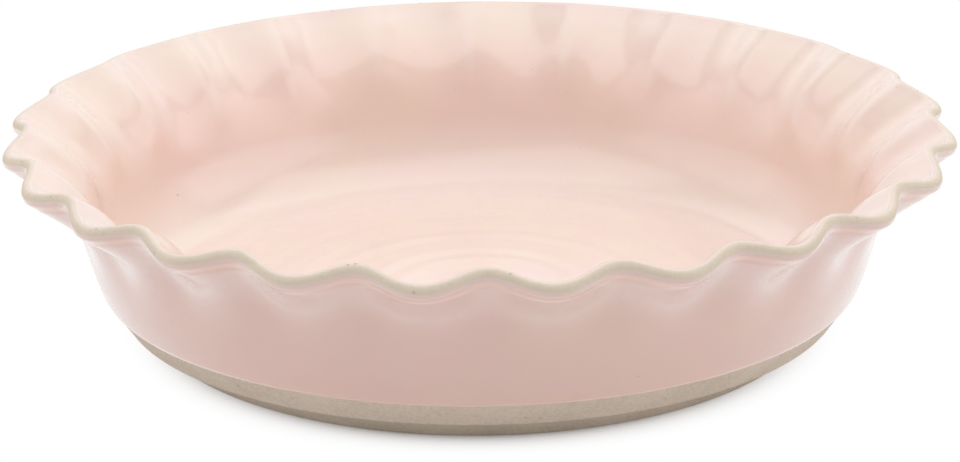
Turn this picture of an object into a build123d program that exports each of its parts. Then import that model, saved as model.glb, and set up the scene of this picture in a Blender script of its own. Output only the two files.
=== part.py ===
from build123d import *
from math import cos, pi, radians, sin
import os

# A ruffled stoneware pie dish: one fired clay body, with a pink glaze coat inside and another outside.
# Millimetres, +Z up, the origin on the table under the middle of the dish, the front towards -Y.

# Overall sizes
dish_width = 280.0  # across the outermost ruffles
dish_height = 61.6  # table to the top of the ruffles

# Foot: a standing ring that leans out to a crisp corner, with a bare band above it up to the glaze line
foot_width = 194.4
foot_ring_width = 9.0
corner_width = 213.0
corner_height = 7.3
corner_lean = 43.0  # degrees from upright, where the band leaves the corner
glaze_line_width = 223.0
glaze_line_height = 14.0
recess_depth = 1.8
recess_fillet = 0.8

# Wall: outer sizes of the plain bowl, before the ruffles are pinched into it
belly_width = 232.6
belly_height = 27.6
flare_width = 243.2
flare_height = 42.2
rim_lean = 48.0  # degrees from upright at the rim

# Clay: thickness of the wall at the belly and at the rim, and of the floor
belly_thickness = 5.2
rim_thickness = 3.8
floor_thickness = 6.2
floor_width = 184.0  # the flat part, inside the cove

# Ruffles: each is pushed out and down, and pinched in and up on either side
ruffle_count = 24
ruffle_reach = 5.2
ruffle_drop_front = 3.1  # the hand-pinched ruffles drop more at the front than at the back
ruffle_drop_back = 1.5
ruffle_start_height = 26.0
ruffle_growth = 1.7  # the power by which the ruffles grow towards the rim
ruffle_turn = 8.6  # degrees from +X to the middle of the first ruffle
spacing_drift = 0.8  # degrees by which the hand-made spacing runs ahead and behind
drift_turn = 67.0  # degrees from +X to where it is neither
pinch_sharpness_share = 0.1

# Glaze coats: full thickness over the wall, thin where a coat ends
glaze_thickness = 0.6
glaze_edge_thickness = 0.2
edge_fade_share = 0.15

# How many points each curve has, and how many curves each smooth face is drawn through
ruffle_point_count = 6
wall_section_count = 9
inner_wall_section_count = 7
rim_section_count = 7
cove_section_count = 6
band_section_count = 3


def side_point(width, height):
    """A point of the outline, given by the width of the whole dish there and the height."""
    return Vector(width / 2, 0, height)


def leaning(angle):
    """The direction up a wall that leans outward from upright by an angle in degrees."""
    return Vector(sin(radians(angle)), 0, cos(radians(angle)))


def outward(direction):
    """The direction square to one up the wall, pointing away from the dish."""
    return Vector(direction.Z, 0, -direction.X)


# The round edge of the rim, half way between a ruffle's tip and a pinch
rim_radius = rim_thickness / 2
rim_middle = Vector(
    dish_width / 2 - rim_radius - ruffle_reach / 2, 0, dish_height - rim_radius - ruffle_drop_front / 2
)
rim_up = leaning(rim_lean)
rim_out = outward(rim_up)
rim_outer_side = rim_middle + rim_out * rim_radius

# Outer outline of the plain bowl, from the corner of the foot to the rim
corner = side_point(corner_width, corner_height)
glaze_line = side_point(glaze_line_width, glaze_line_height)
belly = side_point(belly_width, belly_height)
flare = side_point(flare_width, flare_height)
with BuildLine() as outer_outline:
    outer = Spline(
        corner, glaze_line, belly, flare, rim_outer_side, tangents=(leaning(corner_lean), rim_up)
    )
glaze_line_share = outer.param_at_point(glaze_line)
belly_share = outer.param_at_point(belly)


def clay_thickness(share):
    """Thickness of the wall at a share of the outline, from the belly to the rim."""
    climb = (share - belly_share) / (1 - belly_share)
    return belly_thickness + (rim_thickness - belly_thickness) * climb


def coat_thickness(way_to_edge):
    """Thickness of a glaze coat at a distance from its edge, as a share of the outline."""
    fade = min(way_to_edge / edge_fade_share, 1)
    return glaze_edge_thickness + (glaze_thickness - glaze_edge_thickness) * fade


# Inner outline of the lower wall: a cove from the flat floor up to the belly
floor_height = recess_depth + floor_thickness
floor_edge = side_point(floor_width, floor_height)
cove_top = belly - outward(outer % belly_share) * clay_thickness(belly_share)
with BuildLine() as cove_outline:
    cove = Spline(floor_edge, cove_top, tangents=(Vector(1, 0, 0), outer % belly_share))


def ruffle_strength(height):
    """How much of the ruffles a height of the outer outline takes: none low down, all at the rim."""
    climb = (height - ruffle_start_height) / (rim_outer_side.Z - ruffle_start_height)
    return min(max(climb, 0), 1) ** ruffle_growth


def ruffle_drop(angle):
    """How far the ruffles drop at an angle round the dish."""
    return (ruffle_drop_front + ruffle_drop_back - (ruffle_drop_front - ruffle_drop_back) * sin(angle)) / 2


def shares(first, last, count):
    """Evenly spaced shares from the first to the last."""
    return [first + (last - first) * step / (count - 1) for step in range(count)]


def ring(point, strength=0):
    """A closed curve round the dish through a point of the outline, waved by a share of the ruffles."""
    points = []
    steps = ruffle_count * ruffle_point_count
    for step in range(steps):
        even_angle = 2 * pi * step / steps
        turn = ruffle_count * (even_angle - radians(ruffle_turn))
        wave = cos(turn - pinch_sharpness_share * sin(turn))
        angle = even_angle + radians(spacing_drift) * sin(even_angle - radians(drift_turn))
        radius = point.X + strength * wave * ruffle_reach / 2
        height = point.Z - strength * wave * ruffle_drop(angle) / 2
        points.append((radius * cos(angle), radius * sin(angle), height))
    # Every curve has the same even parameters, so that the faces drawn through them stay light
    return Wire(Edge.make_spline(points, periodic=True, parameters=shares(0, 1, steps + 1)))


def wall_rings(first, last, count, offset):
    """Curves up the wall between two shares of the outline, moved off the outer face by an offset."""
    rings = []
    for share in shares(first, last, count):
        place = outer @ share + outward(outer % share) * offset(share)
        rings.append(ring(place, ruffle_strength((outer @ share).Z)))
    return rings


def cove_rings(coat=0):
    """Curves up the cove to just below the belly, raised off the clay by a coat of glaze."""
    rings = []
    for share in shares(0, 1, cove_section_count)[:-1]:
        place = cove @ share - outward(cove % share) * coat
        rings.append(ring(place, ruffle_strength(belly_height) * share))
    return rings


def rim_rings():
    """Curves round the full-round edge, from the inner side of the wall over to the outer side."""
    rings = []
    for share in shares(0, 1, rim_section_count):
        over = rim_up * sin(pi * share) - rim_out * cos(pi * share)
        rings.append(ring(rim_middle + over * rim_radius, 1))
    return rings


# The curves of a waved rim don't lie flat, so they can't be sketches: faces are drawn through them here


def smooth(rings):
    """One smooth face through closed curves."""
    return Shell.make_loft(rings).faces()


def straight(first, last):
    """A straight-sided face between two closed curves."""
    return Shell.make_loft([first, last], ruled=True).faces()


# Faces of the clay; a glaze coat shares the faces it lies on
inner_rings = cove_rings() + wall_rings(
    belly_share, 1, inner_wall_section_count, lambda share: -clay_thickness(share)
)
outer_rings = wall_rings(glaze_line_share, 1, wall_section_count, lambda share: 0)
foot_ring = ring(side_point(foot_width, 0))
floor_faces = [Face(inner_rings[0])]
inner_faces = smooth(inner_rings)
rim_faces = smooth(rim_rings())
outer_faces = smooth(outer_rings)
band_faces = smooth(wall_rings(0, glaze_line_share, band_section_count, lambda share: 0))
foot_faces = [*straight(foot_ring, ring(corner)), Face(foot_ring)]

# Stoneware body: foot, bare band, wall, bare rim, cove and floor, with a shallow recess inside the foot
with BuildPart() as stoneware_body:
    add(Solid(Shell(floor_faces + inner_faces + rim_faces + outer_faces + band_faces + foot_faces)))
    with BuildSketch(Plane.XY) as recess_outline:
        Circle(foot_width / 2 - foot_ring_width)
    extrude(amount=recess_depth, mode=Mode.SUBTRACT)
    recess_top = stoneware_body.faces().filter_by(Plane.XY).group_by(Axis.Z)[1]
    fillet(recess_top.edges(), radius=min(recess_fillet, recess_depth / 2))
stoneware_body.part.label = "stoneware_body"

# Inside glaze: over the floor and up the inner wall to the bare rim
inside_coat_rings = cove_rings(glaze_thickness) + wall_rings(
    belly_share,
    1,
    inner_wall_section_count,
    lambda share: -clay_thickness(share) - coat_thickness(1 - share),
)
with BuildPart() as inside_glaze:
    coat_faces = [Face(inside_coat_rings[0])] + smooth(inside_coat_rings)
    edge_faces = straight(inner_rings[-1], inside_coat_rings[-1])
    add(Solid(Shell(floor_faces + inner_faces + coat_faces + edge_faces)))
inside_glaze.part.label = "inside_glaze"

# Outside glaze: from the glaze line above the foot up to the bare rim
outside_coat_rings = wall_rings(
    glaze_line_share,
    1,
    wall_section_count,
    lambda share: coat_thickness(min(share - glaze_line_share, 1 - share)),
)
with BuildPart() as outside_glaze:
    coat_faces = smooth(outside_coat_rings)
    lower_edge_faces = straight(outer_rings[0], outside_coat_rings[0])
    upper_edge_faces = straight(outer_rings[-1], outside_coat_rings[-1])
    add(Solid(Shell(outer_faces + coat_faces + lower_edge_faces + upper_edge_faces)))
outside_glaze.part.label = "outside_glaze"

# Each piece in a file of its own
os.makedirs("parts", exist_ok=True)
for piece in (stoneware_body, inside_glaze, outside_glaze):
    export_step(piece.part, f"parts/{piece.part.label}.step")
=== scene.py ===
from math import cos, pi, radians, sin, tau

import bpy
import numpy as np
from mathutils import Matrix, Vector


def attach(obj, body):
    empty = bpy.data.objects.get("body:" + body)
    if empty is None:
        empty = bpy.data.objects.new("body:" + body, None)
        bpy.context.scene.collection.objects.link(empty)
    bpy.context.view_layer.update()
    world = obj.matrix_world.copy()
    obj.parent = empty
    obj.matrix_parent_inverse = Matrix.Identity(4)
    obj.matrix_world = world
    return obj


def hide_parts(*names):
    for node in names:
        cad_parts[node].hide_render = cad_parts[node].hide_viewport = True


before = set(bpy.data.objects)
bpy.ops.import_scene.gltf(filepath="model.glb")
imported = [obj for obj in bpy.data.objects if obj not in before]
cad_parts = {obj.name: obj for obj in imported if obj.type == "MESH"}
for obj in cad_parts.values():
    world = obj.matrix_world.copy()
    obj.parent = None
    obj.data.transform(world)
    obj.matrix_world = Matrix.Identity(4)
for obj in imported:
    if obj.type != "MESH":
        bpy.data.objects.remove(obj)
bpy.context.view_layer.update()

# Stoneware body
# One piece of pale, speckled stoneware: shaped on a wheel, its wall pinched into ruffles by hand while soft.
# The foot, the band above it and the round edge of the rim were wiped clean of glaze before the firing.

MM = 0.001
dish_width = 280.0 * MM  # across the outermost ruffles
dish_height = 61.6 * MM
foot_width = 194.4 * MM
foot_ring_width = 9.0 * MM
recess_depth = 1.8 * MM
recess_fillet = 0.8 * MM
ceiling_share = 0.98  # the plain part of the recess's ceiling, inside its fillet
corner_width, corner_height = 213.0 * MM, 7.3 * MM
glaze_line_width, glaze_line_height = 223.0 * MM, 14.0 * MM
belly_width, belly_height = 232.6 * MM, 27.6 * MM
flare_width, flare_height = 243.2 * MM, 42.2 * MM
corner_lean, rim_lean = radians(43), radians(48)  # from upright
belly_thickness, rim_thickness = 5.2 * MM, 3.8 * MM
floor_width, floor_height = 184.0 * MM, 8.0 * MM

ruffle_count = 24
ruffle_reach = 5.2 * MM
ruffle_drop_front, ruffle_drop_back = 3.1 * MM, 1.5 * MM
ruffle_turn = radians(8.6)
spacing_drift, drift_turn = radians(0.8), radians(67)
pinch_skew = 0.1
outer_ruffle_start, outer_ruffle_growth = 24.0 * MM, 1.8
inner_ruffle_start, inner_ruffle_end, inner_ruffle_growth = 34.0 * MM, 55.0 * MM, 1.15
inner_ruffle_blend = 4.0 * MM
ridge_share, ridge_power, ridge_softness = 0.22, 1.2, 0.08  # how the pinches inside narrow to ridges
ridge_end, crest_power = 8, 7  # how late the ridges widen, how narrow the glaze breaks and painted highlight on them
wobble_size, wobble_scale = 0.2 * MM, 3.0
hem_size, hem_scale = 0.5 * MM, 7.0
uneven_seed = 4.0
steps_per_ruffle = 28
near_rim = 9.0 * MM  # where hidden faces are as fine as the glaze on them
hidden_every = 3  # hidden faces away from the rim take only each third point of the outline
weld_distance = 0.002 * MM
crisp_angle, crisp_mark = radians(50), 0.75  # edges past this angle or mark break the smooth shading

film_start, film_end = 0.42, 0.8  # where a film of inside glaze covers the round edge, of the way over it
worn_edge = 0.3 * MM  # the worn edges of the foot
lip_depth, lip_height = 0.5 * MM, 2.4 * MM  # the lip that the trimming tool left at the foot's corner
hollow_low, hollow_high = radians(31), radians(76)  # the lean of the hollow cut under that lip, low and high
neck_depth, neck_height = 0.2 * MM, 4.0 * MM  # the hollow that a wet finger left under the round edge
trimming_spacing, trimming_depth = 11 * MM, 0.12 * MM  # the rings from trimming in the recess
ring_beat = 4.3  # rings grow faint and come back over this many


def lean_way(lean):
    """The direction up a wall that leans outward from upright."""
    return np.array([sin(lean), cos(lean)])


def outward(directions):
    """The directions square to those up the wall, away from the dish."""
    return np.stack([directions[..., 1], -directions[..., 0]], axis=-1)


def knots(points):
    """The way along the straight lines between points, up to each of them."""
    return np.concatenate([[0], np.cumsum(np.linalg.norm(np.diff(points, axis=0), axis=1))])


def smooth_curve(points, first_way, last_way, shares):
    """Places and directions at shares of a smooth curve through points, from one way to another."""
    points = np.array(points)
    marks = knots(points)
    spans = np.diff(marks)
    chords = np.diff(points, axis=0) / spans[:, None]
    system = np.eye(len(points))
    ways = np.zeros_like(points)
    ways[0], ways[-1] = first_way, last_way
    for knot in range(1, len(points) - 1):
        before, after = spans[knot - 1 : knot + 1]
        system[knot, knot - 1 : knot + 2] = after, 2 * (before + after), before
        ways[knot] = 3 * (after * chords[knot - 1] + before * chords[knot])
    ways = np.linalg.solve(system, ways)
    along = marks[-1] * np.asarray(shares)
    span = np.clip(np.searchsorted(marks, along, side="right") - 1, 0, len(spans) - 1)
    length = spans[span][:, None]
    s = (along - marks[span])[:, None] / length
    start, end, leaving, arriving = points[span], points[span + 1], ways[span], ways[span + 1]
    bowed = length * s * (1 - s) * (leaving * (1 - s) - arriving * s)
    places = start + (end - start) * s ** 2 * (3 - 2 * s) + bowed
    slopes = (
        (end - start) * 6 * s * (1 - s) / length
        + leaving * (1 - s) * (1 - 3 * s)
        + arriving * s * (3 * s - 2)
    )
    return places, slopes / np.linalg.norm(slopes, axis=1, keepdims=True)


def ruffled(heights, start, growth, top, softened=0):
    """How much of the ruffles each height of the wall takes: none low down, all at the rim."""
    nearby = heights + softened * np.linspace(-1, 1, 9)[:, None]
    return np.mean(np.clip((nearby - start) / (top - start), 0, 1) ** growth, axis=0)


# The round edge of the rim, half way between a ruffle's tip and a pinch
rim_radius = rim_thickness / 2
rim_up = lean_way(rim_lean)
rim_out = outward(rim_up)
rim_middle = np.array([
    dish_width / 2 - rim_radius - ruffle_reach / 2,
    dish_height - rim_radius - ruffle_drop_front / 2,
])
rim_outer_side = rim_middle + rim_out * rim_radius

# The plain outer wall from the foot's corner to the rim, with its points closer together where glaze ends
wall_points = [
    (corner_width / 2, corner_height),
    (glaze_line_width / 2, glaze_line_height),
    (belly_width / 2, belly_height),
    (flare_width / 2, flare_height),
    rim_outer_side,
]
line_share, belly_share = (knots(wall_points) / knots(wall_points)[-1])[1:3]
close_past_line, close_from = 0.04, 0.92  # shares of the way where close points end and start
wall_shares = np.concatenate([
    np.linspace(0, line_share, 9)[:-1],
    line_share + np.linspace(0, close_past_line, 9)[:-1],
    np.linspace(line_share + close_past_line, belly_share, 8)[:-1],
    np.linspace(belly_share, close_from, 22)[:-1],
    np.linspace(close_from, 1, 16),
])
line_step = int(np.argmin(abs(wall_shares - line_share)))
belly_step = int(np.argmin(abs(wall_shares - belly_share)))
wall, wall_way = smooth_curve(wall_points, lean_way(corner_lean), rim_up, wall_shares)
wall_length = knots(wall)
to_rim = wall_length[-1] - wall_length

# The inner wall: a cove up from the flat floor, then the outer wall moved in by the clay's thickness
climb = (wall_length[belly_step:] - wall_length[belly_step]) / to_rim[belly_step]
clay_thickness = belly_thickness + (rim_thickness - belly_thickness) * climb
upper_wall = wall[belly_step:] - outward(wall_way[belly_step:]) * clay_thickness[:, None]
cove, cove_way = smooth_curve(
    [(floor_width / 2, floor_height), upper_wall[0]], (1, 0), wall_way[belly_step], np.linspace(0, 1, 22)
)
inner_wall = np.concatenate([cove[:-1], upper_wall])
inner_way = np.concatenate([cove_way[:-1], wall_way[belly_step:]])
inner_to_rim = knots(inner_wall)[-1] - knots(inner_wall)

# What the tools and fingers left on the outer wall
neck = neck_depth * np.sin(pi * np.clip(to_rim / neck_height, 0, 1))
lip = lip_depth * np.exp(-wall_length / lip_height)
wall = wall + outward(wall_way) * (lip - neck)[:, None]

outer_strength = ruffled(wall[:, 1], outer_ruffle_start, outer_ruffle_growth, rim_outer_side[1])
inner_strength = ruffled(
    inner_wall[:, 1], inner_ruffle_start, inner_ruffle_growth, inner_ruffle_end, inner_ruffle_blend
)
inner_ridge = ridge_share * (1 - inner_strength ** ridge_end)
hidden_steps = np.arange(len(inner_wall))
hidden_steps = hidden_steps[(hidden_steps % hidden_every == 0) | (inner_to_rim < near_rim)]
hidden_wall, hidden_strength, hidden_ridge = (
    row[hidden_steps] for row in (inner_wall, inner_strength, inner_ridge)
)


class Outline:
    """The outline that a piece is turned from, listed stretch by stretch with what each stretch is like."""

    labels = ("strength", "ridge", "breaks", "hem", "crisp", "thin", "pooled")

    def __init__(self):
        self.stretches = []

    def add(self, places, **values):
        """A stretch of places with its values, one for all of them or one for each; the rest are nought."""
        places = np.reshape(places, (-1, 2))
        columns = [np.broadcast_to(values.get(label, 0), len(places)) for label in self.labels]
        self.stretches.append(np.column_stack([places, *columns]))

    def columns(self):
        """All stretches together, as a list of values for each label."""
        rows = np.concatenate(self.stretches)
        return dict(zip(("radius", "height", *self.labels), rows.T))


def rounded(before, corner, after, radius, steps=4):
    """The points of a small round edge at a corner between two straight runs."""
    before, corner, after = map(np.array, (before, corner, after))
    start = corner + (before - corner) / np.linalg.norm(before - corner) * radius
    end = corner + (after - corner) / np.linalg.norm(after - corner) * radius
    share = np.linspace(0, 1, steps)[:, None]
    return (1 - share) ** 2 * start + 2 * share * (1 - share) * corner + share ** 2 * end


def rings(radii, spacing, depth):
    """The faint rings that fingers or a trimming tool left in turned clay."""
    return depth * np.sin(tau * radii / spacing) * np.sin(tau * radii / (spacing * ring_beat))


recess_radius = foot_width / 2 - foot_ring_width
ceiling_radii = np.linspace(0, recess_radius * ceiling_share, 30)
trimming_rings = abs(rings(ceiling_radii, trimming_spacing, trimming_depth))
ceiling = np.stack([ceiling_radii, recess_depth - trimming_rings], axis=1)
hollow, _ = smooth_curve(
    [(foot_width / 2, 0), wall[0]], lean_way(hollow_low), lean_way(hollow_high), np.linspace(0, 1, 10)
)
foot_corners = [ceiling[-1], (recess_radius, recess_depth), (recess_radius, 0), hollow[0], hollow[1]]
over = np.linspace(0, pi, 21)[1:-1, None]
bead_way = rim_out * np.cos(over) + rim_up * np.sin(over)
bead = rim_middle + rim_radius * bead_way
film = np.clip((over[:, 0] / pi - film_start) / (film_end - film_start), 0, 1)
floor_radii = np.linspace(floor_width / 2, 0, 6)[1:]

body = Outline()
body.add(ceiling)
body.add(rounded(*foot_corners[0:3], recess_fillet, steps=6))
body.add(rounded(*foot_corners[1:4], worn_edge))
body.add(rounded(*foot_corners[2:5], worn_edge))
body.add(hollow[1:-1])
body.add(wall[0], crisp=1)
body.add(wall[1:line_step], strength=outer_strength[1:line_step])
body.add(wall[line_step::2], strength=outer_strength[line_step::2])
body.add(bead, strength=1, thin=film, pooled=1)
body.add(hidden_wall[::-1], strength=hidden_strength[::-1], ridge=hidden_ridge[::-1], thin=1)
body.add([(radius, floor_height) for radius in floor_radii], thin=1)


def new_node(tree, kind, **settings):
    """A node of a kind with its settings."""
    made = tree.nodes.new(kind)
    for name, value in settings.items():
        setattr(made, name, value)
    return made


def feed(tree, socket, source):
    """A socket takes a plain value or another node's output."""
    if isinstance(source, bpy.types.NodeSocket):
        tree.links.new(source, socket)
    else:
        socket.default_value = source


def calculator(tree):
    """Math nodes of a tree, as a call that takes an operation and its values or outputs."""

    def calculate(operation, *sources, clamp=False):
        made = new_node(tree, "ShaderNodeMath", operation=operation, use_clamp=clamp)
        for socket, source in zip(made.inputs, sources):
            feed(tree, socket, source)
        return made.outputs[0]

    return calculate


def name_sockets(tree, in_out, wanted):
    """Names a tree's inputs or outputs, given as name: kind."""
    for name, kind in wanted.items():
        tree.interface.new_socket(name=name, in_out=in_out, socket_type="NodeSocket" + kind)


def ruffled_turning():
    """A tree that turns an outline round the dish's axis and pinches the ruffles into it."""
    tree = bpy.data.node_groups.new("ruffled turning", "GeometryNodeTree")
    name_sockets(tree, "INPUT", {
        "Outline": "Geometry", "Steps Around": "Int", "Ruffles": "Int", "Reach": "Float",
        "Drop In Front": "Float", "Drop Behind": "Float", "Ruffle Turn": "Float", "Spacing Drift": "Float",
        "Drift Turn": "Float", "Pinch Skew": "Float", "Ridge Power": "Float", "Ridge Softness": "Float",
        "Wobble": "Float", "Hem": "Float", "Seed": "Float", "Finish": "Material",
    })
    name_sockets(tree, "OUTPUT", {"Geometry": "Geometry"})
    given = new_node(tree, "NodeGroupInput").outputs
    maths = calculator(tree)

    # A sheet of points: one column for each step round the dish, one row for each point of the outline
    size = new_node(tree, "GeometryNodeAttributeDomainSize", component="MESH")
    feed(tree, size.inputs["Geometry"], given["Outline"])
    rows = size.outputs["Point Count"]
    sheet = new_node(tree, "GeometryNodeMeshGrid")
    feed(tree, sheet.inputs["Vertices X"], maths("ADD", given["Steps Around"], 1))
    feed(tree, sheet.inputs["Vertices Y"], rows)
    index = new_node(tree, "GeometryNodeInputIndex").outputs[0]
    column = maths("FLOOR", maths("DIVIDE", maths("ADD", index, 0.5), rows))
    row = maths("SUBTRACT", index, maths("MULTIPLY", column, rows))

    def of_outline(name):
        """A value kept on the outline's points, for the row that a point is in."""
        kept = new_node(tree, "GeometryNodeInputNamedAttribute", data_type="FLOAT")
        feed(tree, kept.inputs["Name"], name)
        sample = new_node(tree, "GeometryNodeSampleIndex", data_type="FLOAT", domain="POINT")
        feed(tree, sample.inputs["Geometry"], given["Outline"])
        feed(tree, sample.inputs["Value"], kept.outputs["Attribute"])
        feed(tree, sample.inputs["Index"], row)
        return sample.outputs["Value"]

    strength = of_outline("strength")

    # The wave of the ruffles: 1 at a tip, -1 at a pinch, with narrow ridges where the outline asks for them
    even = maths("MULTIPLY", maths("DIVIDE", column, given["Steps Around"]), tau)
    turn = maths("MULTIPLY", maths("SUBTRACT", even, given["Ruffle Turn"]), given["Ruffles"])
    skew = maths("MULTIPLY", maths("SINE", turn), given["Pinch Skew"])
    wave = maths("COSINE", maths("SUBTRACT", turn, skew))
    pinch = maths("DIVIDE", maths("SUBTRACT", 1, wave), 2)
    softness = given["Ridge Softness"]
    off_crest = maths("MULTIPLY", maths("SUBTRACT", 1, pinch), maths("SUBTRACT", 1, softness))
    crest = maths("SUBTRACT", 1, maths("SQRT", maths("ADD", off_crest, softness)))
    crest = maths("DIVIDE", crest, maths("SUBTRACT", 1, maths("SQRT", softness)), clamp=True)
    narrow = maths("POWER", crest, given["Ridge Power"])
    ridged = maths("ADD", pinch, maths("MULTIPLY", of_outline("ridge"), maths("SUBTRACT", narrow, pinch)))
    push = maths("MULTIPLY", strength, maths("SUBTRACT", 0.5, ridged))

    # The hand-made spacing, a slight wobble that only draws inward and down, and the uneven hem of the glaze
    drifting = maths("SINE", maths("SUBTRACT", even, given["Drift Turn"]))
    drift = maths("MULTIPLY", given["Spacing Drift"], drifting)
    angle = maths("ADD", even, drift)
    across, along = maths("COSINE", angle), maths("SINE", angle)

    def uneven(scale):
        """Smooth chance values round the dish, from 0 to 1."""
        place = new_node(tree, "ShaderNodeCombineXYZ")
        for axis, source in zip("XYZ", (across, along, given["Seed"])):
            feed(tree, place.inputs[axis], source)
        noise = new_node(tree, "ShaderNodeTexNoise", noise_dimensions="3D")
        feed(tree, noise.inputs["Vector"], place.outputs[0])
        feed(tree, noise.inputs["Scale"], scale)
        feed(tree, noise.inputs["Detail"], 1.0)
        return noise.outputs[0]

    wobble = maths("MULTIPLY", maths("MULTIPLY", uneven(wobble_scale), given["Wobble"]), strength)
    hem = maths("MULTIPLY", maths("MULTIPLY", uneven(hem_scale), given["Hem"]), of_outline("hem"))
    drop_more = maths("MULTIPLY", maths("SUBTRACT", given["Drop In Front"], given["Drop Behind"]), along)
    both_drops = maths("ADD", given["Drop In Front"], given["Drop Behind"])
    drop = maths("DIVIDE", maths("SUBTRACT", both_drops, drop_more), 2)
    radius = maths("ADD", of_outline("radius"), maths("MULTIPLY", push, given["Reach"]))
    radius = maths("ADD", maths("SUBTRACT", radius, wobble), maths("MULTIPLY", hem, sin(hem_lean)))
    height = maths("SUBTRACT", of_outline("height"), maths("MULTIPLY", push, drop))
    height = maths("ADD", maths("SUBTRACT", height, wobble), maths("MULTIPLY", hem, cos(hem_lean)))
    place = new_node(tree, "ShaderNodeCombineXYZ")
    feed(tree, place.inputs["X"], maths("MULTIPLY", radius, across))
    feed(tree, place.inputs["Y"], maths("MULTIPLY", radius, along))
    feed(tree, place.inputs["Z"], height)

    # What the finishes and the shading read
    geometry = sheet.outputs["Mesh"]
    # Pale over the ridge crests, where the glaze runs thin, with a painted highlight in the same pale line
    broken_and_sheen = maths("MULTIPLY", maths("SQRT", strength), of_outline("breaks"))
    kept_values = {
        "crest": maths("MULTIPLY", maths("POWER", crest, crest_power), broken_and_sheen),
        "thin": of_outline("thin"), "pooled": of_outline("pooled"), "crisp": of_outline("crisp"),
    }
    for name, value in kept_values.items():
        store = new_node(tree, "GeometryNodeStoreNamedAttribute", data_type="FLOAT", domain="POINT")
        feed(tree, store.inputs["Geometry"], geometry)
        feed(tree, store.inputs["Name"], name)
        feed(tree, store.inputs["Value"], value)
        geometry = store.outputs["Geometry"]
    moved = new_node(tree, "GeometryNodeSetPosition")
    feed(tree, moved.inputs["Geometry"], geometry)
    feed(tree, moved.inputs["Position"], place.outputs[0])
    closed = new_node(tree, "GeometryNodeMergeByDistance")
    feed(tree, closed.inputs["Geometry"], moved.outputs["Geometry"])
    feed(tree, closed.inputs["Distance"], weld_distance)
    smooth = new_node(tree, "GeometryNodeSetShadeSmooth", domain="FACE")
    feed(tree, smooth.inputs["Geometry"], closed.outputs["Geometry"])

    # An edge between two crisp points, or with a sharp angle, breaks the smooth shading
    on_crisp = new_node(tree, "GeometryNodeInputNamedAttribute", data_type="FLOAT")
    feed(tree, on_crisp.inputs["Name"], "crisp")
    bend = new_node(tree, "GeometryNodeInputMeshEdgeAngle").outputs["Unsigned Angle"]
    breaks = maths(
        "MAXIMUM",
        maths("GREATER_THAN", on_crisp.outputs["Attribute"], crisp_mark),
        maths("GREATER_THAN", bend, crisp_angle),
    )
    crisp = new_node(tree, "GeometryNodeSetShadeSmooth", domain="EDGE")
    feed(tree, crisp.inputs["Geometry"], smooth.outputs["Geometry"])
    feed(tree, crisp.inputs["Selection"], breaks)
    feed(tree, crisp.inputs["Shade Smooth"], False)
    real = new_node(tree, "GeometryNodeRealizeInstances")
    feed(tree, real.inputs["Geometry"], crisp.outputs["Geometry"])
    finished = new_node(tree, "GeometryNodeSetMaterial")
    feed(tree, finished.inputs["Geometry"], real.outputs["Geometry"])
    feed(tree, finished.inputs["Material"], given["Finish"])
    feed(tree, new_node(tree, "NodeGroupOutput").inputs["Geometry"], finished.outputs["Geometry"])
    return tree


hem_lean = float(np.arctan2(*wall_way[line_step]))
turning = ruffled_turning()


def turned_piece(name, outline, finish):
    """A piece turned from its outline, listed so that the solid lies on the left of the way along it."""
    columns = outline.columns()
    mesh = bpy.data.meshes.new(name)
    points = [(x, 0, z) for x, z in zip(columns["radius"], columns["height"])]
    mesh.from_pydata(points, [(step, step + 1) for step in range(len(points) - 1)], [])
    for label, values in columns.items():
        mesh.attributes.new(label, "FLOAT", "POINT").data.foreach_set("value", values.astype(np.float32))
    piece = bpy.data.objects.new(name, mesh)
    bpy.context.scene.collection.objects.link(piece)
    wheel = piece.modifiers.new("turning", "NODES")
    wheel.node_group = turning
    settings = {
        "Steps Around": ruffle_count * steps_per_ruffle, "Ruffles": ruffle_count, "Reach": ruffle_reach,
        "Drop In Front": ruffle_drop_front, "Drop Behind": ruffle_drop_back, "Ruffle Turn": ruffle_turn,
        "Spacing Drift": spacing_drift, "Drift Turn": drift_turn, "Pinch Skew": pinch_skew,
        "Ridge Power": ridge_power, "Ridge Softness": ridge_softness, "Wobble": wobble_size, "Hem": hem_size,
        "Seed": uneven_seed, "Finish": finish,
    }
    for item in turning.interface.items_tree:
        if item.name in settings:
            wheel[item.identifier] = settings[item.name]
    evaluated = piece.evaluated_get(bpy.context.evaluated_depsgraph_get())
    solid = bpy.data.meshes.new_from_object(evaluated)
    solid.name = name
    piece.modifiers.remove(wheel)
    piece.data = solid
    bpy.data.meshes.remove(mesh)
    return piece


least_speck_size, speck_sharpness, least_speck_depth = 0.4, 2.2, 0.35


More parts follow.
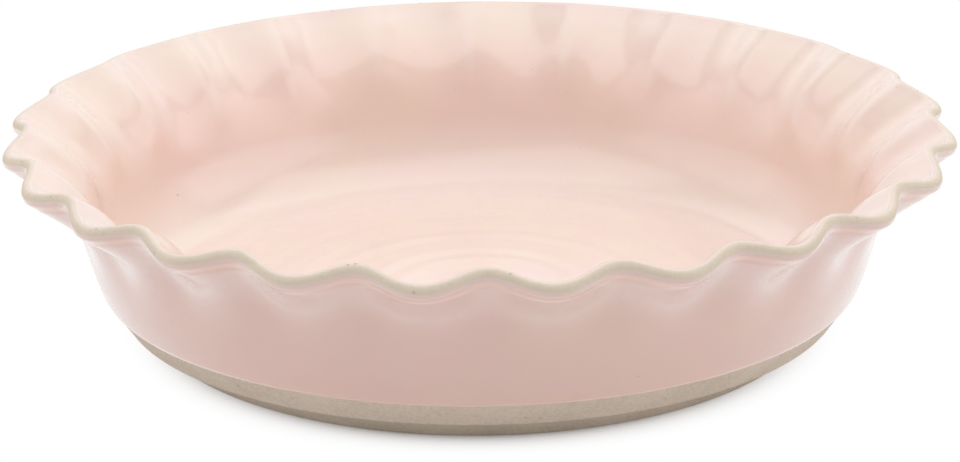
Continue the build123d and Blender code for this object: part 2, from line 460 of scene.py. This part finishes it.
def speck_group():
    """Small round specks of iron, here and there: a mask from 0 to 1."""
    tree = bpy.data.node_groups.new("iron specks", "ShaderNodeTree")
    name_sockets(tree, "INPUT", {"Place": "Vector", "Cells": "Float", "Share": "Float", "Size": "Float"})
    name_sockets(tree, "OUTPUT", {"Speck": "Float"})
    given = new_node(tree, "NodeGroupInput").outputs
    maths = calculator(tree)
    cells = new_node(tree, "ShaderNodeTexVoronoi", voronoi_dimensions="3D", feature="F1")
    feed(tree, cells.inputs["Vector"], given["Place"])
    feed(tree, cells.inputs["Scale"], given["Cells"])
    chance = new_node(tree, "ShaderNodeSeparateColor")
    feed(tree, chance.inputs["Color"], cells.outputs["Color"])
    chosen = maths("LESS_THAN", chance.outputs["Red"], given["Share"])
    own_size = maths("MULTIPLY", given["Size"], maths("ADD", least_speck_size, chance.outputs["Green"]))
    nearness = maths("SUBTRACT", 1, maths("DIVIDE", cells.outputs["Distance"], own_size), clamp=True)
    round_speck = maths("MULTIPLY", maths("MULTIPLY", nearness, speck_sharpness, clamp=True), chosen)
    deeper = maths("MULTIPLY", chance.outputs["Blue"], 1 - least_speck_depth)
    depth = maths("ADD", least_speck_depth, deeper)
    feed(tree, new_node(tree, "NodeGroupOutput").inputs["Speck"], maths("MULTIPLY", round_speck, depth))
    return tree


def mottle_group():
    """Uneven clouds of two sizes: a value round 0.5."""
    tree = bpy.data.node_groups.new("mottle", "ShaderNodeTree")
    name_sockets(tree, "INPUT", {
        "Place": "Vector", "Large": "Float", "Small": "Float", "Small Share": "Float",
    })
    name_sockets(tree, "OUTPUT", {"Value": "Float"})
    given = new_node(tree, "NodeGroupInput").outputs
    maths = calculator(tree)
    clouds = []
    for size in ("Large", "Small"):
        noise = new_node(tree, "ShaderNodeTexNoise", noise_dimensions="3D")
        feed(tree, noise.inputs["Vector"], given["Place"])
        feed(tree, noise.inputs["Scale"], given[size])
        feed(tree, noise.inputs["Detail"], 3.0)
        clouds.append(noise.outputs[0])
    difference = maths("SUBTRACT", clouds[1], clouds[0])
    both = maths("ADD", clouds[0], maths("MULTIPLY", difference, given["Small Share"]))
    feed(tree, new_node(tree, "NodeGroupOutput").inputs["Value"], both)
    return tree


def ring_group():
    """The rings of turned clay, by the way out from the axis and the height: a value round 0.5."""
    tree = bpy.data.node_groups.new("turning rings", "ShaderNodeTree")
    name_sockets(tree, "INPUT", {"Place": "Vector", "Scale": "Float"})
    name_sockets(tree, "OUTPUT", {"Value": "Float"})
    given = new_node(tree, "NodeGroupInput").outputs
    parts = new_node(tree, "ShaderNodeSeparateXYZ")
    feed(tree, parts.inputs[0], given["Place"])
    flat = new_node(tree, "ShaderNodeCombineXYZ")
    feed(tree, flat.inputs["X"], parts.outputs["X"])
    feed(tree, flat.inputs["Y"], parts.outputs["Y"])
    way_out = new_node(tree, "ShaderNodeVectorMath", operation="LENGTH")
    feed(tree, way_out.inputs[0], flat.outputs[0])
    across = new_node(tree, "ShaderNodeCombineXYZ")
    feed(tree, across.inputs["X"], way_out.outputs["Value"])
    feed(tree, across.inputs["Y"], parts.outputs["Z"])
    noise = new_node(tree, "ShaderNodeTexNoise", noise_dimensions="2D")
    feed(tree, noise.inputs["Vector"], across.outputs[0])
    feed(tree, noise.inputs["Scale"], given["Scale"])
    feed(tree, noise.inputs["Detail"], 1.0)
    feed(tree, new_node(tree, "NodeGroupOutput").inputs["Value"], noise.outputs[0])
    return tree


specks, mottle, turning_rings = speck_group(), mottle_group(), ring_group()


class Finish:
    """A material whose nodes are added one by one."""

    def __init__(self, name):
        self.material = bpy.data.materials.new(name)
        self.material.use_nodes = True
        self.tree = self.material.node_tree
        self.shader = self.tree.nodes["Principled BSDF"]
        self.maths = calculator(self.tree)
        self.place = new_node(self.tree, "ShaderNodeTexCoord").outputs["Object"]

    def set(self, **values):
        """Values or outputs for the shader's own sockets."""
        for name, source in values.items():
            feed(self.tree, self.shader.inputs[name.replace("_", " ").title()], source)

    def use(self, group, **inputs):
        """The output of a node group at this place on the surface."""
        node = new_node(self.tree, "ShaderNodeGroup", node_tree=group)
        feed(self.tree, node.inputs["Place"], self.place)
        for name, source in inputs.items():
            feed(self.tree, node.inputs[name.replace("_", " ")], source)
        return node.outputs[0]

    def kept(self, name):
        """A value kept on the piece's points."""
        return new_node(self.tree, "ShaderNodeAttribute", attribute_name=name).outputs["Fac"]

    def between(self, value, low, high):
        """0 up to the low value, 1 from the high one, and a smooth step between."""
        step = new_node(self.tree, "ShaderNodeMapRange", interpolation_type="SMOOTHSTEP")
        for name, source in {"Value": value, "From Min": low, "From Max": high}.items():
            feed(self.tree, step.inputs[name], source)
        return step.outputs[0]

    def mix(self, share, first, second):
        """A colour between two others."""
        node = new_node(self.tree, "ShaderNodeMix", data_type="RGBA")
        colours = [socket for socket in node.inputs if socket.type == "RGBA"]
        feed(self.tree, node.inputs["Factor"], share)
        for socket, colour in zip(colours, (first, second)):
            feed(self.tree, socket, colour if isinstance(colour, bpy.types.NodeSocket) else (*colour, 1))
        return [socket for socket in node.outputs if socket.type == "RGBA"][0]

    def bump(self, height, distance, under=None):
        """A small relief of the surface, over another one if given."""
        node = new_node(self.tree, "ShaderNodeBump")
        feed(self.tree, node.inputs["Height"], height)
        feed(self.tree, node.inputs["Distance"], distance)
        if under is not None:
            feed(self.tree, node.inputs["Normal"], under)
        return node.outputs[0]


# Bare clay: matt cream, with a fine grain, small iron specks and rings from the trimming tool
clay_cream, clay_sand, clay_dark = (0.75, 0.655, 0.55), (0.66, 0.56, 0.465), (0.28, 0.18, 0.11)
clay_toasted, film_milk = (0.68, 0.58, 0.44), (0.82, 0.70, 0.62)
toasted_share, clay_speck_share = 0.55, 0.5
film_raggedness, film_cover = 0.8, 0.9
clay_roughness, film_gloss = 0.85, 0.45
clay_ring_relief, grain_relief = 0.05 * MM, 0.06 * MM
clay = Finish("bare stoneware")
clay_clouds = clay.use(mottle, Large=60.0, Small=900.0, Small_Share=0.55)
clay_colour = clay.mix(clay.between(clay_clouds, 0.36, 0.62), clay_sand, clay_cream)
toasted = clay.maths("MULTIPLY", clay.kept("pooled"), toasted_share)
clay_colour = clay.mix(toasted, clay_colour, clay_toasted)
film_patches = clay.maths("SUBTRACT", clay.use(mottle, Large=150.0, Small=700.0, Small_Share=0.4), 0.5)
clay_film = clay.maths("ADD", clay.kept("thin"), clay.maths("MULTIPLY", film_patches, film_raggedness))
clay_film = clay.maths("MULTIPLY", clay.between(clay_film, 0.1, 0.9), film_cover)
clay_colour = clay.mix(clay_film, clay_colour, film_milk)
clay_specks = clay.use(specks, Cells=520.0, Share=0.12, Size=0.24)
clay_colour = clay.mix(clay.maths("MULTIPLY", clay_specks, clay_speck_share), clay_colour, clay_dark)
smoother = clay.maths("MULTIPLY", clay_film, film_gloss)
clay.set(base_color=clay_colour, roughness=clay.maths("SUBTRACT", clay_roughness, smoother))
clay_rings = clay.bump(clay.use(turning_rings, Scale=700.0), clay_ring_relief)
clay_grain = clay.use(mottle, Large=700.0, Small=2200.0, Small_Share=0.5)
clay.set(normal=clay.bump(clay_grain, grain_relief, clay_rings))

clay_body = turned_piece("clay_body", body, clay.material)
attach(clay_body, "root")
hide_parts("stoneware_body")

# Inside glaze
# A coat of pink glass melted on to the floor and the inner wall. It breaks pale over the ridges, where it
# runs thin, and that pale line also carries a painted highlight. It ends in a thin edge on the rounded rim.

glaze_thickness, glaze_edge_thickness = 0.55 * MM, 0.03 * MM
inner_fade = 9.0 * MM  # the way over which the coat thins out towards the rim
run_on_angle = radians(145)  # the turn over the round edge, from its outer side, where this coat ends
showing_share, showing_reach = 0.27, 28 * MM  # how much clay shows through by the rim, and how far down
pool_share, pool_way, pool_reach = 0.52, 37 * MM, 24 * MM  # the deeper pink some way up the wall: pooled glaze, and painted shade
throwing_spacing, throwing_depth = 9 * MM, 0.09 * MM  # the rings that fingers left in the floor


def thinning(edge_ways, fade):
    """A coat's thickness at a way from its edge, where it thins out slowly."""
    share = np.clip(edge_ways / fade, 0, 1)
    return glaze_edge_thickness + (glaze_thickness - glaze_edge_thickness) * share ** 2 * (3 - 2 * share)


run_on = over[:, 0] > run_on_angle
edge_points = bead[run_on][::-1]
inner_side = np.concatenate([inner_wall, edge_points])
inner_out = np.concatenate([-outward(inner_way), bead_way[run_on][::-1]])
inner_along = knots(inner_side)
inner_to_edge = inner_along[-1] - inner_along
inner_face = inner_side + inner_out * thinning(inner_to_edge, inner_fade)[:, None]
coated_strength = np.concatenate([inner_strength, np.ones(len(edge_points))])
coated_ridge = np.concatenate([inner_ridge, np.zeros(len(edge_points))])
glazed_floor = np.linspace(floor_width / 2, 0, 43)[1:]
throwing_rings = rings(glazed_floor, throwing_spacing, throwing_depth)
floor_face = np.stack([glazed_floor, floor_height + glaze_thickness + throwing_rings], axis=1)
inner_thin = showing_share * np.clip(1 - inner_to_edge / showing_reach, 0, 1)
# A deeper pink band up the inner wall, with a faint tail on the floor: pooled glaze and painted shade
inner_pooled_and_shade = pool_share * np.exp(-((inner_along - pool_way) / pool_reach) ** 2)
floor_pooled_and_shade = pool_share * np.exp(-((floor_width / 2 - glazed_floor + pool_way) / pool_reach) ** 2)

inside = Outline()
inside.add([(radius, floor_height) for radius in floor_radii[::-1]])
inside.add(hidden_wall, strength=hidden_strength, ridge=hidden_ridge)
inside.add(edge_points, strength=1)
inside.add(
    inner_face[::-1], strength=coated_strength[::-1], ridge=coated_ridge[::-1], breaks=1,
    thin=inner_thin[::-1], pooled=inner_pooled_and_shade[::-1],
)
inside.add(floor_face, pooled=floor_pooled_and_shade)

# Pink glaze: a clear glass over a cloudy pink one, with iron from the clay coming through
# The pale colour is thin glaze on the ridge crests with a painted highlight; the deep colour is pooled glaze,
# on the inner wall partly painted shade
glaze_pale_and_sheen, glaze_clear = (0.90, 0.79, 0.72), (0.70, 0.57, 0.50)
glaze_deep, iron_brown = (0.84, 0.53, 0.43), (0.25, 0.14, 0.09)
pale_share, pale_raggedness = 0.2, 0.4
iron_share, small_iron_share = 0.5, 0.45
glaze_roughness, iron_roughness = 0.26, 0.2
wave_relief, glaze_ring_relief = 0.4 * MM, 0.05 * MM


def pink_glaze(name, pink, peach):
    """The glaze's material, from two close tones, with other colours where it is thin, pooled (partly painted
    shade) or pale on ridges (partly painted highlight).
    """
    glaze = Finish(name)
    clouds = glaze.use(mottle, Large=22.0, Small=120.0, Small_Share=0.3)
    colour = glaze.mix(glaze.between(clouds, 0.36, 0.64), pink, peach)
    # Deeper pink where the glaze pools; up the inner wall this is also painted shade
    colour = glaze.mix(glaze.kept("pooled"), colour, glaze_deep)
    # The pale line on the ridge crests: glaze running thin, and a painted highlight
    grain = glaze.maths("SUBTRACT", glaze.use(mottle, Large=90.0, Small=400.0, Small_Share=0.4), 0.5)
    broken_and_sheen = glaze.maths("ADD", glaze.kept("crest"), glaze.maths("MULTIPLY", grain, pale_raggedness))
    broken_and_sheen = glaze.maths("MULTIPLY", glaze.between(broken_and_sheen, 0.2, 0.7), pale_share)
    colour = glaze.mix(broken_and_sheen, colour, glaze_pale_and_sheen)
    colour = glaze.mix(glaze.kept("thin"), colour, glaze_clear)
    large_specks = glaze.use(specks, Cells=190.0, Share=0.06, Size=0.09)
    small_specks = glaze.use(specks, Cells=520.0, Share=0.06, Size=0.2)
    iron = glaze.maths("MAXIMUM", large_specks, glaze.maths("MULTIPLY", small_specks, small_iron_share))
    colour = glaze.mix(glaze.maths("MULTIPLY", iron, iron_share), colour, iron_brown)
    rougher = glaze.maths("MULTIPLY", iron, iron_roughness)
    glaze.set(base_color=colour, roughness=glaze.maths("ADD", glaze_roughness, rougher))
    glaze.set(coat_weight=1.0, coat_roughness=0.16)
    waves = glaze.bump(glaze.use(mottle, Large=45.0, Small=260.0, Small_Share=0.08), wave_relief)
    glaze.set(normal=glaze.bump(glaze.use(turning_rings, Scale=160.0), glaze_ring_relief, waves))
    return glaze.material


inside_glaze = pink_glaze("pink glaze inside", (0.93, 0.75, 0.70), (0.93, 0.785, 0.675))

inside_coat = turned_piece("inside_coat", inside, inside_glaze)
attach(inside_coat, "root")
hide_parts("inside_glaze")

# Outside glaze
# The same pink glass on the outer wall, from under the round edge down to a wiped line above the foot.
# It is clear where it ends under the edge, and deeper pink in the roll beside each end.
# Its tones are darker than inside, with the outer wall's shade painted into them.

edge_fade, outer_fade = 1.4 * MM, 2.5 * MM  # the ways over which it thins out, at the line and at the rim
glaze_roll, roll_width, roll_sharpness = 0.12 * MM, 2.2 * MM, 4  # the roll where the melted glaze stopped
crept_angle = radians(50)  # the turn over the round edge, from its outer side, where this coat ends
clear_reach = 2 * MM  # how far below that end the coat is clear
rim_pool_share, rim_pool_way, rim_pool_reach = 0.6, 3.4 * MM, 1.4 * MM  # the deeper pink under the edge
line_pool_share, line_reach = 0.5, 4 * MM  # how far up the deeper pink and the uneven hem reach

crept = over[:, 0] < crept_angle
creep_length = rim_radius * over[crept, 0]
glazed_wall = np.concatenate([wall[line_step:], bead[crept]])
glazed_out = np.concatenate([outward(wall_way[line_step:]), bead_way[crept]])
from_line = np.concatenate([wall_length[line_step:], wall_length[-1] + creep_length]) - wall_length[line_step]
outer_to_rim = from_line[-1] - from_line
rounded_end = np.sqrt(1 - (1 - np.clip(from_line / edge_fade, 0, 1)) ** 2)
roll = glaze_roll * np.exp(-((from_line / roll_width - 1) ** 2) * roll_sharpness)
outer_thickness = np.minimum(
    glaze_edge_thickness + (glaze_thickness - glaze_edge_thickness) * rounded_end + roll,
    thinning(outer_to_rim, outer_fade) + roll,
)
outer_face = glazed_wall + glazed_out * outer_thickness[:, None]
outer_thin = np.clip(1 - outer_to_rim / clear_reach, 0, 1)
rim_pool = rim_pool_share * np.exp(-((outer_to_rim - rim_pool_way) / rim_pool_reach) ** 2)
line_pool = line_pool_share * np.exp(-((from_line / line_reach) ** 2))
outer_pooled = rim_pool + line_pool
hem_weight = np.exp(-from_line / line_reach)
glazed_strength = np.concatenate([outer_strength[line_step:], np.ones(crept.sum())])

outside = Outline()
outside.add(outer_face, strength=glazed_strength, thin=outer_thin, pooled=outer_pooled, hem=hem_weight)
outside.add(glazed_wall[::2][::-1], strength=glazed_strength[::2][::-1], hem=hem_weight[::2][::-1])
outside.add(outer_face[0], strength=glazed_strength[0], pooled=outer_pooled[0], hem=hem_weight[0])

# Darker tones than the inside glaze's: the outer wall's shade painted into its colour
outside_glaze = pink_glaze("shaded pink glaze outside", (0.77, 0.52, 0.47), (0.77, 0.54, 0.465))
outside_coat = turned_piece("outside_coat", outside, outside_glaze)
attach(outside_coat, "root")
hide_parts("outside_glaze")

# Table, light and camera
# A white table that is burnt out to white away from the dish, with wide soft lamps above it, behind it and
# beside it. The room is plain, and the glaze mirrors a white sheet that stands behind the table.

shadow_start, shadow_end = 97.5 * MM, 116.0 * MM
shadow_stretch = (1.05, 1, 1)  # the shadow is shorter at the sides
shadow_power = 3
table_reach, table_white = 4, (0.9, 0.9, 0.9, 1)
room_level, mirrored_level = 0.585, 0.5  # the room as a light, and as the glaze mirrors it
sheet_sharpness, sheet_lowness = 3.0, 0.6  # how sharply the white sheet ends, and how low it stays

room = bpy.data.worlds.new("room")
room.use_nodes = True
room_tree = room.node_tree
room_light = room_tree.nodes["Background"]
feed(room_tree, room_light.inputs["Color"], (1, 1, 1, 1))
room_maths = calculator(room_tree)
room_rays = new_node(room_tree, "ShaderNodeLightPath").outputs
ways_out = new_node(room_tree, "ShaderNodeSeparateXYZ")
feed(room_tree, ways_out.inputs[0], new_node(room_tree, "ShaderNodeTexCoord").outputs["Generated"])
high_up = room_maths("MULTIPLY", ways_out.outputs["Z"], sheet_lowness)
low_behind = room_maths("SUBTRACT", ways_out.outputs["Y"], high_up)
sheet = room_maths("MULTIPLY", low_behind, sheet_sharpness, clamp=True)
mirrored = room_maths("ADD", mirrored_level, room_maths("MULTIPLY", sheet, 1 - mirrored_level))
unlit = room_maths("MULTIPLY", room_maths("SUBTRACT", 1, room_rays["Is Glossy Ray"]), room_level)
around = room_maths("ADD", unlit, room_maths("MULTIPLY", room_rays["Is Glossy Ray"], mirrored))
feed(room_tree, room_light.inputs["Strength"], room_maths("MAXIMUM", room_rays["Is Camera Ray"], around))
bpy.context.scene.world = room
bpy.context.scene.view_settings.view_transform = "Standard"


def soft_lamp(name, place, sizes, watts):
    """A wide lamp that faces the dish."""
    light = bpy.data.lights.new(name, "AREA")
    light.shape = "RECTANGLE"
    light.size, light.size_y = sizes
    light.energy = watts
    lamp = bpy.data.objects.new(name, light)
    lamp.matrix_world = Matrix.Translation(place) @ Vector(place).to_track_quat("Z", "Y").to_matrix().to_4x4()
    bpy.context.scene.collection.objects.link(lamp)


soft_lamp("lamp above", (0.02, -0.04, 1.0), (1.9, 1.02), 5.6)
soft_lamp("lamp behind", (0, 0.8, 0.8), (1.6, 0.7), 1.2)
soft_lamp("left lamp beside", (-1.2, -0.1, 0.45), (1.4, 0.9), 2.6)
soft_lamp("right lamp beside", (1.2, -0.1, 0.45), (1.4, 0.9), 3.6)

table_mesh = bpy.data.meshes.new("table")
table_corners = [(x * table_reach, y * table_reach, 0) for x, y in ((-1, -1), (1, -1), (1, 1), (-1, 1))]
table_mesh.from_pydata(table_corners, [], [(0, 1, 2, 3)])
table = bpy.data.objects.new("table", table_mesh)
bpy.context.scene.collection.objects.link(table)
white = Finish("white table")
white.set(base_color=table_white, roughness=1.0)
stretched = new_node(white.tree, "ShaderNodeVectorMath", operation="MULTIPLY")
feed(white.tree, stretched.inputs[0], white.place)
feed(white.tree, stretched.inputs[1], shadow_stretch)
beside = new_node(white.tree, "ShaderNodeVectorMath", operation="LENGTH")
feed(white.tree, beside.inputs[0], stretched.outputs[0])
way_from_foot = new_node(white.tree, "ShaderNodeMapRange")
feed(white.tree, way_from_foot.inputs["Value"], beside.outputs["Value"])
feed(white.tree, way_from_foot.inputs["From Min"], shadow_start)
feed(white.tree, way_from_foot.inputs["From Max"], shadow_end)
shaded = white.maths("POWER", white.maths("SUBTRACT", 1, way_from_foot.outputs[0]), shadow_power)
burnt = white.maths("SUBTRACT", 1, shaded)
rays = new_node(white.tree, "ShaderNodeLightPath").outputs
in_sight = white.maths("MAXIMUM", rays["Is Camera Ray"], rays["Is Glossy Ray"])
glow = new_node(white.tree, "ShaderNodeEmission")
burnt_out = new_node(white.tree, "ShaderNodeMixShader")
feed(white.tree, burnt_out.inputs[0], white.maths("MULTIPLY", burnt, in_sight))
feed(white.tree, burnt_out.inputs[1], white.shader.outputs[0])
feed(white.tree, burnt_out.inputs[2], glow.outputs[0])
feed(white.tree, white.tree.nodes["Material Output"].inputs["Surface"], burnt_out.outputs[0])
table.data.materials.append(white.material)

# The camera stands in front of the dish and looks down into it, as the photo's does
camera_distance = 1.0393
camera_elevation, camera_pitch, camera_roll = 0.3542, 0.3307, -0.0101
focal_pixels, centre_pixel = 3453.6, 480.3
picture_width = 960
camera_data = bpy.data.cameras.new("camera")
camera_data.sensor_width = 36
camera_data.lens = focal_pixels * camera_data.sensor_width / picture_width
camera = bpy.data.objects.new("camera", camera_data)
bpy.context.scene.collection.objects.link(camera)
camera_place = Vector((
    (picture_width / 2 - centre_pixel) / focal_pixels * camera_distance,
    -camera_distance * cos(camera_elevation),
    camera_distance * sin(camera_elevation),
))
camera.matrix_world = (
    Matrix.Translation(camera_place)
    @ Matrix.Rotation(pi / 2 - camera_pitch, 4, "X")
    @ Matrix.Rotation(camera_roll, 4, "Z")
)
bpy.context.scene.camera = camera
